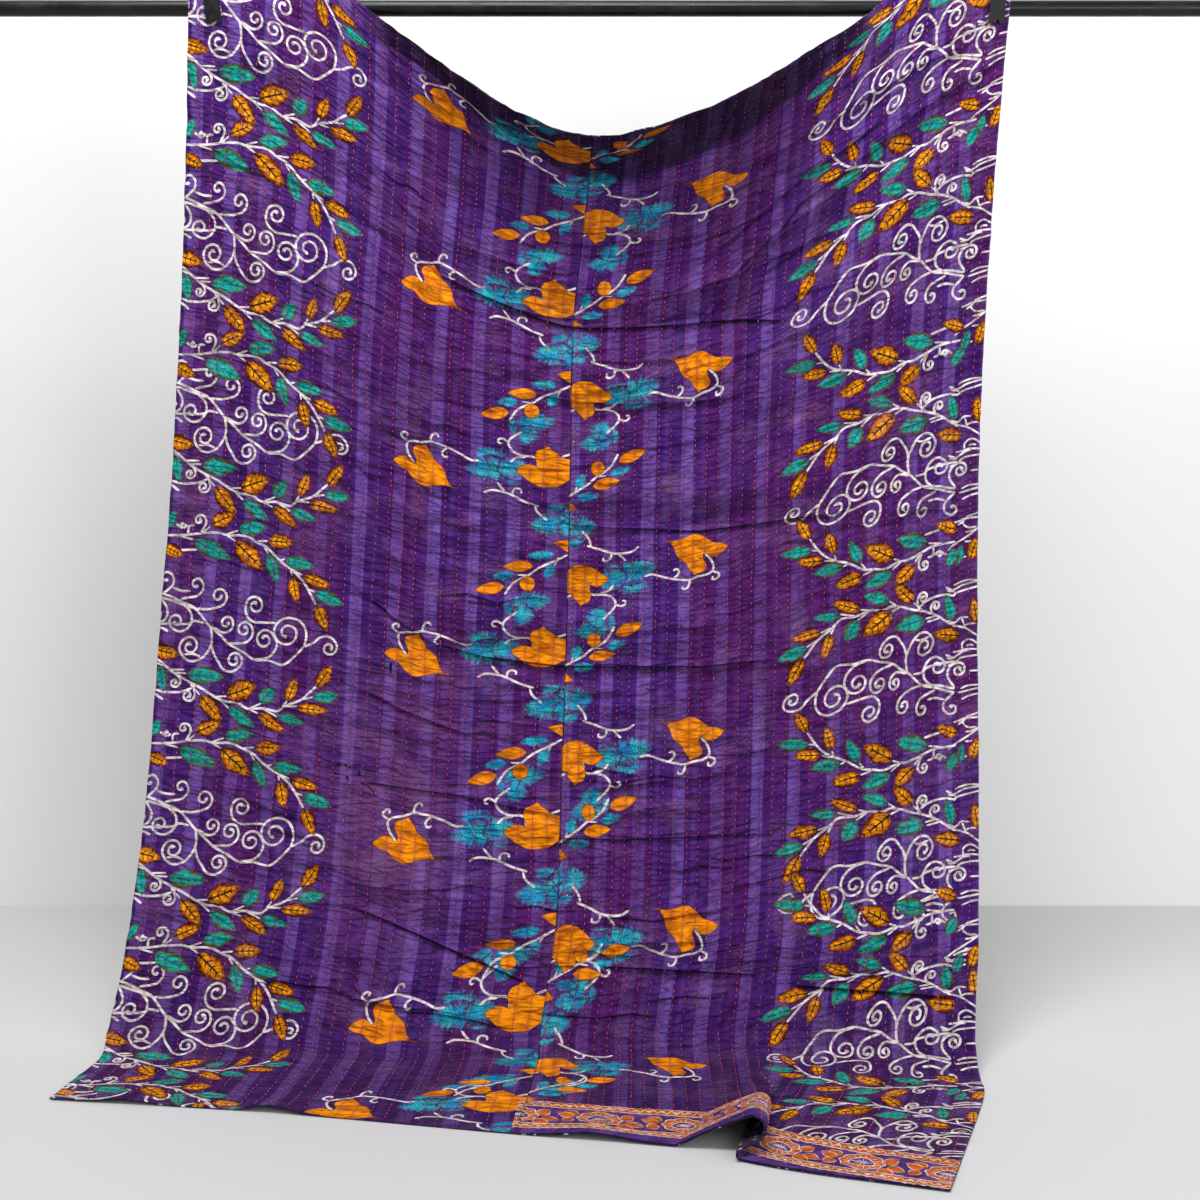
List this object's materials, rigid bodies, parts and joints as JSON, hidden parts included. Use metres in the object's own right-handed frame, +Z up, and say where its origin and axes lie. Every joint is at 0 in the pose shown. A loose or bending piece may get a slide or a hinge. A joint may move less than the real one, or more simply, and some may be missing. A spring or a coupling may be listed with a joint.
{
  "type": "kantha quilt clipped on a round rail",
  "caption": "Thin stitched cotton quilt hung by its top corners from a round rail with spring clips, sagging between them, its foot lying on the floor with one overturned fold.",
  "frame": {"origin": "middle of the rail's left end face", "axes": "+X along the rail to the right as seen from the front, +Y away from the viewer, +Z up; the floor is at Z = -1.64"},
  "size_m": [2, 0.6953, 1.7387],
  "materials": {
    "printed_cotton": "printed cotton layers, quilted with running stitches, worn soft",
    "border_cotton": "printed cotton border",
    "black_rail": "glossy black paint",
    "black_clip": "satin black",
    "spring_steel": "drawn steel wire"
  },
  "bodies": {
    "root": {"left_panel": "printed_cotton", "right_panel": "printed_cotton", "border_strip": "border_cotton", "rail": "black_rail", "left_clip_front_lever": "black_clip", "left_clip_back_lever": "black_clip", "left_clip_pin": "spring_steel", "left_clip_spring": "spring_steel", "right_clip_front_lever": "black_clip", "right_clip_back_lever": "black_clip", "right_clip_pin": "spring_steel", "right_clip_spring": "spring_steel"}
  },
  "joints": []
}
